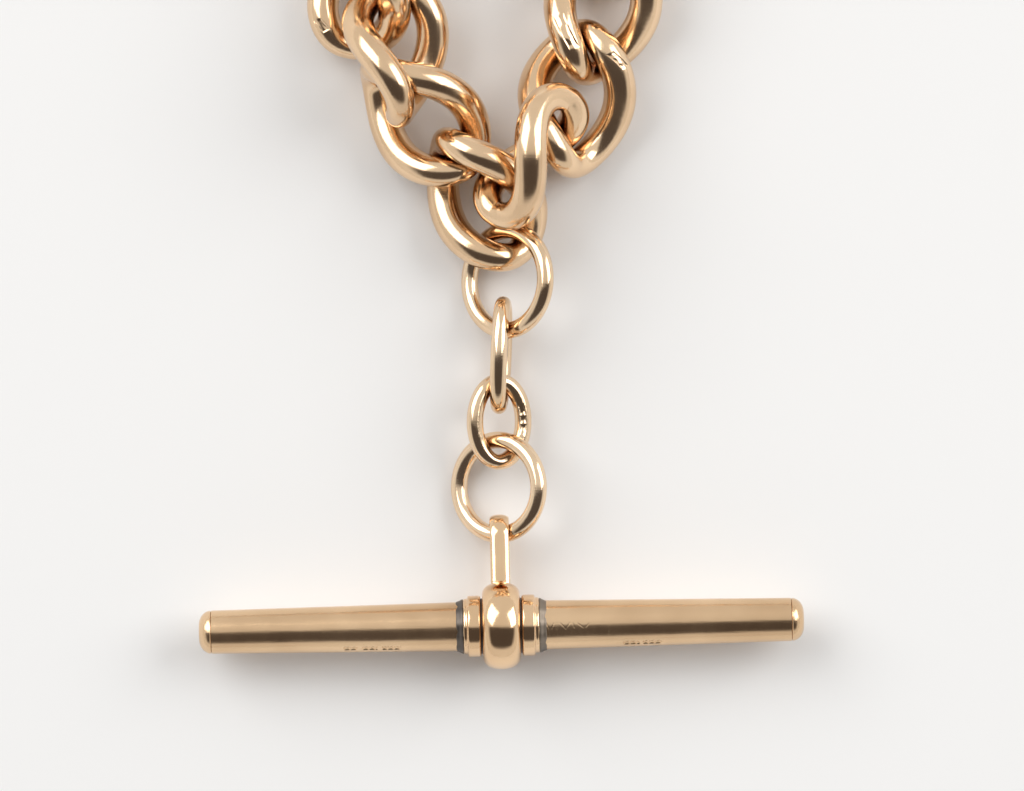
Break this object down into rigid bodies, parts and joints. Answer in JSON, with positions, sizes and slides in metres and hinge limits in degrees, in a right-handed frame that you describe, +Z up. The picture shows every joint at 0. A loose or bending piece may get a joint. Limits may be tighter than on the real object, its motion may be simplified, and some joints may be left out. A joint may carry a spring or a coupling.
{
  "type": "pocket watch chain",
  "caption": "Double watch chain of twisted curb links with a T-bar on a short drop and a spring-gated swivel clasp at each end.",
  "frame": {"origin": "centre of the bounding box at its base, on the table that the chain lies on", "axes": "+Y from the T-bar towards the swivel clasps, +Z up from the table, +X to the right as the T-bar lies"},
  "size_m": [0.0716, 0.1346, 0.0074],
  "materials": {
    "curb_gold": "polished rose gold, softly worn",
    "drop_gold": "polished rose gold, duller at the joints",
    "bar_gold": "polished rose gold with fine scratches and grey solder at the collars",
    "clasp_gold": "polished rose gold",
    "steel_trim": "plain spring steel"
  },
  "bodies": {
    "centre_link": {"centre_curb_link": "curb_gold"},
    "left_link_01": {"curb_left_01": "curb_gold"},
    "left_link_02": {"curb_left_02": "curb_gold"},
    "left_link_03": {"curb_left_03": "curb_gold"},
    "left_link_04": {"curb_left_04": "curb_gold"},
    "left_link_05": {"curb_left_05": "curb_gold"},
    "left_link_06": {"curb_left_06": "curb_gold"},
    "left_link_07": {"curb_left_07": "curb_gold"},
    "left_link_08": {"curb_left_08": "curb_gold"},
    "left_link_09": {"curb_left_09": "curb_gold"},
    "left_link_10": {"curb_left_10": "curb_gold"},
    "left_link_11": {"curb_left_11": "curb_gold"},
    "left_link_12": {"curb_left_12": "curb_gold"},
    "left_link_13": {"curb_left_13": "curb_gold"},
    "left_link_14": {"curb_left_14": "curb_gold"},
    "left_link_15": {"curb_left_15": "curb_gold"},
    "left_link_16": {"curb_left_16": "curb_gold"},
    "left_link_17": {"curb_left_17": "curb_gold"},
    "left_end_ring": {"end_ring_left": "clasp_gold"},
    "left_swivel_eye": {"swivel_left_eye": "clasp_gold"},
    "left_swivel": {"swivel_left_body": "clasp_gold", "swivel_left_pivot_pin": "steel_trim", "swivel_left_gate_spring": "steel_trim"},
    "left_gate": {"swivel_left_gate": "clasp_gold"},
    "right_link_01": {"curb_right_01": "curb_gold"},
    "right_link_02": {"curb_right_02": "curb_gold"},
    "right_link_03": {"curb_right_03": "curb_gold"},
    "right_link_04": {"curb_right_04": "curb_gold"},
    "right_link_05": {"curb_right_05": "curb_gold"},
    "right_link_06": {"curb_right_06": "curb_gold"},
    "right_link_07": {"curb_right_07": "curb_gold"},
    "right_link_08": {"curb_right_08": "curb_gold"},
    "right_link_09": {"curb_right_09": "curb_gold"},
    "right_link_10": {"curb_right_10": "curb_gold"},
    "right_link_11": {"curb_right_11": "curb_gold"},
    "right_link_12": {"curb_right_12": "curb_gold"},
    "right_link_13": {"curb_right_13": "curb_gold"},
    "right_link_14": {"curb_right_14": "curb_gold"},
    "right_link_15": {"curb_right_15": "curb_gold"},
    "right_link_16": {"curb_right_16": "curb_gold"},
    "right_link_17": {"curb_right_17": "curb_gold"},
    "right_end_ring": {"end_ring_right": "clasp_gold"},
    "right_swivel_eye": {"swivel_right_eye": "clasp_gold"},
    "right_swivel": {"swivel_right_body": "clasp_gold", "swivel_right_pivot_pin": "steel_trim", "swivel_right_gate_spring": "steel_trim"},
    "right_gate": {"swivel_right_gate": "clasp_gold"},
    "drop_ring_upper": {"drop_ring_upper": "drop_gold"},
    "drop_link_upper": {"drop_link_upper": "drop_gold"},
    "drop_link_lower": {"drop_link_lower": "drop_gold"},
    "drop_ring_lower": {"drop_ring_lower": "drop_gold"},
    "t_bar": {"bail": "bar_gold", "centre_bead": "bar_gold", "collar_left": "bar_gold", "collar_right": "bar_gold", "bar_tube_left": "bar_gold", "bar_tube_right": "bar_gold", "end_cap_left": "bar_gold", "end_cap_right": "bar_gold"}
  },
  "joints": [
    {"name": "left_link_01_hinge", "type": "hinge", "parent": "centre_link", "child": "left_link_01", "pos_m": [-0.00386, -0.03586, 0.00278], "axis": [0.1523, 0.1615, 0.9751], "range_deg": [-22, 6]},
    {"name": "left_link_02_hinge", "type": "hinge", "parent": "left_link_01", "child": "left_link_02", "pos_m": [-0.00632, -0.03369, 0.00306], "axis": [-0.3773, -0.6186, 0.6892], "range_deg": [-22, 16]},
    {"name": "left_link_03_hinge", "type": "hinge", "parent": "left_link_02", "child": "left_link_03", "pos_m": [-0.00714, -0.02907, 0.00273], "axis": [0.5249, 0.8317, 0.1809], "range_deg": [-4, 20]},
    {"name": "left_link_04_hinge", "type": "hinge", "parent": "left_link_03", "child": "left_link_04", "pos_m": [-0.00807, -0.02527, 0.00356], "axis": [-0.986, 0.1669, 0], "range_deg": [-22, 18]},
    {"name": "left_link_05_hinge", "type": "hinge", "parent": "left_link_04", "child": "left_link_05", "pos_m": [-0.00755, -0.0197, 0.0032], "axis": [0.9992, -0.0393, 0], "range_deg": [-22, 6]},
    {"name": "left_link_06_hinge", "type": "hinge", "parent": "left_link_05", "child": "left_link_06", "pos_m": [-0.00786, -0.01183, 0.00226], "axis": [-0.4054, -0.3078, -0.8608], "range_deg": [-22, 16]},
    {"name": "left_link_07_hinge", "type": "hinge", "parent": "left_link_06", "child": "left_link_07", "pos_m": [-0.00929, -0.00772, 0.00208], "axis": [0, 0, -1], "range_deg": [-12, 22]},
    {"name": "left_link_08_hinge", "type": "hinge", "parent": "left_link_07", "child": "left_link_08", "pos_m": [-0.01174, -0.00281, 0.00208], "axis": [0, 0, 1], "range_deg": [-22, 12]},
    {"name": "left_link_09_hinge", "type": "hinge", "parent": "left_link_08", "child": "left_link_09", "pos_m": [-0.01512, 0.00151, 0.00208], "axis": [0, 0, -1], "range_deg": [-12, 22]},
    {"name": "left_link_10_hinge", "type": "hinge", "parent": "left_link_09", "child": "left_link_10", "pos_m": [-0.01923, 0.00512, 0.00208], "axis": [0, 0, 1], "range_deg": [-22, 22]},
    {"name": "left_link_11_hinge", "type": "hinge", "parent": "left_link_10", "child": "left_link_11", "pos_m": [-0.02348, 0.0086, 0.00208], "axis": [0, 0, -1], "range_deg": [-22, 14]},
    {"name": "left_link_12_hinge", "type": "hinge", "parent": "left_link_11", "child": "left_link_12", "pos_m": [-0.02698, 0.01286, 0.00208], "axis": [0, 0, 1], "range_deg": [-14, 22]},
    {"name": "left_link_13_hinge", "type": "hinge", "parent": "left_link_12", "child": "left_link_13", "pos_m": [-0.02969, 0.01765, 0.00208], "axis": [0, 0, -1], "range_deg": [-22, 14]},
    {"name": "left_link_14_hinge", "type": "hinge", "parent": "left_link_13", "child": "left_link_14", "pos_m": [-0.03153, 0.02284, 0.00208], "axis": [0, 0, 1], "range_deg": [-14, 22]},
    {"name": "left_link_15_hinge", "type": "hinge", "parent": "left_link_14", "child": "left_link_15", "pos_m": [-0.03244, 0.02828, 0.00208], "axis": [0, 0, -1], "range_deg": [-22, 14]},
    {"name": "left_link_16_hinge", "type": "hinge", "parent": "left_link_15", "child": "left_link_16", "pos_m": [-0.03239, 0.03379, 0.00208], "axis": [0, 0, 1], "range_deg": [-14, 22]},
    {"name": "left_link_17_hinge", "type": "hinge", "parent": "left_link_16", "child": "left_link_17", "pos_m": [-0.03137, 0.03926, 0.00208], "axis": [0, 0, -1], "range_deg": [-22, 12]},
    {"name": "left_end_ring_hinge", "type": "hinge", "parent": "left_link_17", "child": "left_end_ring", "pos_m": [-0.02924, 0.04567, 0.00182], "axis": [0.6279, -0.0097, 0.7782], "range_deg": [-22, 22]},
    {"name": "left_swivel_eye_hinge", "type": "hinge", "parent": "left_end_ring", "child": "left_swivel_eye", "pos_m": [-0.02922, 0.04914, 0.00223], "axis": [0, 0, 1], "range_deg": [-16, 22]},
    {"name": "left_swivel_spin", "type": "hinge", "parent": "left_swivel_eye", "child": "left_swivel", "pos_m": [-0.02939, 0.04993, 0.00218], "axis": [-0.0003, 1, 0.0003], "continuous": true},
    {"name": "left_gate_hinge", "type": "hinge", "parent": "left_swivel", "child": "left_gate", "pos_m": [-0.02711, 0.05678, 0.00218], "axis": [0, -0.0003, 1], "range_deg": [0, 20], "stiffness_Nm_per_rad": 0.001, "springref_deg": -11.46},
    {"name": "right_link_01_hinge", "type": "hinge", "parent": "centre_link", "child": "right_link_01", "pos_m": [-0.0014, -0.03918, 0.00285], "axis": [-0.1987, -0.7905, 0.5793], "range_deg": [-8, 22]},
    {"name": "right_link_02_hinge", "type": "hinge", "parent": "right_link_01", "child": "right_link_02", "pos_m": [0.00237, -0.0359, 0.00386], "axis": [0.4888, -0.863, 0.1276], "range_deg": [-18, 14]},
    {"name": "right_link_03_hinge", "type": "hinge", "parent": "right_link_02", "child": "right_link_03", "pos_m": [0.00449, -0.02941, 0.00226], "axis": [0.6384, -0.5517, 0.5367], "range_deg": [-22, 22]},
    {"name": "right_link_04_hinge", "type": "hinge", "parent": "right_link_03", "child": "right_link_04", "pos_m": [0.0062, -0.02529, 0.00203], "axis": [0.6243, 0.0527, -0.7794], "range_deg": [-10, 16]},
    {"name": "right_link_05_hinge", "type": "hinge", "parent": "right_link_04", "child": "right_link_05", "pos_m": [0.00735, -0.01991, 0.00208], "axis": [0, 0, -1], "range_deg": [-22, 16]},
    {"name": "right_link_06_hinge", "type": "hinge", "parent": "right_link_05", "child": "right_link_06", "pos_m": [0.00946, -0.01483, 0.00208], "axis": [0, 0, 1], "range_deg": [-16, 22]},
    {"name": "right_link_07_hinge", "type": "hinge", "parent": "right_link_06", "child": "right_link_07", "pos_m": [0.01229, -0.01012, 0.00208], "axis": [0, 0, -1], "range_deg": [-22, 16]},
    {"name": "right_link_08_hinge", "type": "hinge", "parent": "right_link_07", "child": "right_link_08", "pos_m": [0.01578, -0.00588, 0.00208], "axis": [0, 0, 1], "range_deg": [-16, 22]},
    {"name": "right_link_09_hinge", "type": "hinge", "parent": "right_link_08", "child": "right_link_09", "pos_m": [0.01992, -0.00227, 0.00208], "axis": [0, 0, -1], "range_deg": [-22, 22]},
    {"name": "right_link_10_hinge", "type": "hinge", "parent": "right_link_09", "child": "right_link_10", "pos_m": [0.02407, 0.00132, 0.00208], "axis": [0, 0, 1], "range_deg": [-22, 14]},
    {"name": "right_link_11_hinge", "type": "hinge", "parent": "right_link_10", "child": "right_link_11", "pos_m": [0.02747, 0.00566, 0.00208], "axis": [0, 0, -1], "range_deg": [-14, 22]},
    {"name": "right_link_12_hinge", "type": "hinge", "parent": "right_link_11", "child": "right_link_12", "pos_m": [0.03005, 0.01053, 0.00208], "axis": [0, 0, 1], "range_deg": [-22, 14]},
    {"name": "right_link_13_hinge", "type": "hinge", "parent": "right_link_12", "child": "right_link_13", "pos_m": [0.03175, 0.01577, 0.00208], "axis": [0, 0, -1], "range_deg": [-14, 22]},
    {"name": "right_link_14_hinge", "type": "hinge", "parent": "right_link_13", "child": "right_link_14", "pos_m": [0.03252, 0.02122, 0.00208], "axis": [0, 0, 1], "range_deg": [-22, 14]},
    {"name": "right_link_15_hinge", "type": "hinge", "parent": "right_link_14", "child": "right_link_15", "pos_m": [0.03233, 0.02673, 0.00208], "axis": [0, 0, -1], "range_deg": [-14, 22]},
    {"name": "right_link_16_hinge", "type": "hinge", "parent": "right_link_15", "child": "right_link_16", "pos_m": [0.03118, 0.03212, 0.00208], "axis": [0, 0, 1], "range_deg": [-22, 14]},
    {"name": "right_link_17_hinge", "type": "hinge", "parent": "right_link_16", "child": "right_link_17", "pos_m": [0.0296, 0.0363, 0.00213], "axis": [-0.5078, -0.278, 0.8154], "range_deg": [-22, 20]},
    {"name": "right_end_ring_hinge", "type": "hinge", "parent": "right_link_17", "child": "right_end_ring", "pos_m": [0.02588, 0.0433, 0.00233], "axis": [0.6197, 0.1279, 0.7743], "range_deg": [-22, 22]},
    {"name": "right_swivel_eye_hinge", "type": "hinge", "parent": "right_end_ring", "child": "right_swivel_eye", "pos_m": [0.02604, 0.04675, 0.00184], "axis": [0, 0, 1], "range_deg": [-16, 22]},
    {"name": "right_swivel_spin", "type": "hinge", "parent": "right_swivel_eye", "child": "right_swivel", "pos_m": [0.02614, 0.04749, 0.00216], "axis": [-0.0017, 1, 0.0013], "continuous": true},
    {"name": "right_gate_hinge", "type": "hinge", "parent": "right_swivel", "child": "right_gate", "pos_m": [0.02841, 0.05434, 0.00217], "axis": [0, -0.0013, 1], "range_deg": [0, 20], "stiffness_Nm_per_rad": 0.001, "springref_deg": -11.46},
    {"name": "drop_ring_upper_hinge", "type": "hinge", "parent": "centre_link", "child": "drop_ring_upper", "pos_m": [-0.00064, -0.04124, 0.00196], "axis": [0, 0, 1], "range_deg": [-10, 22]},
    {"name": "drop_link_upper_hinge", "type": "hinge", "parent": "drop_ring_upper", "child": "drop_link_upper", "pos_m": [-0.00038, -0.04716, 0.00248], "axis": [-0.9965, 0.083, 0], "range_deg": [-22, 6]},
    {"name": "drop_link_lower_hinge", "type": "hinge", "parent": "drop_link_upper", "child": "drop_link_lower", "pos_m": [-0.0007, -0.05018, 0.00219], "axis": [0.9995, -0.0304, 0], "range_deg": [-14, 12]},
    {"name": "drop_ring_lower_hinge", "type": "hinge", "parent": "drop_link_lower", "child": "drop_ring_lower", "pos_m": [-0.00076, -0.05366, 0.00205], "axis": [0.8374, 0.0147, 0.5464], "range_deg": [-12, 14]},
    {"name": "t_bar_hinge", "type": "hinge", "parent": "drop_ring_lower", "child": "t_bar", "pos_m": [-0.00068, -0.05931, 0.00208], "axis": [0.9583, 0.0191, 0.285], "range_deg": [-48, 48]}
  ]
}
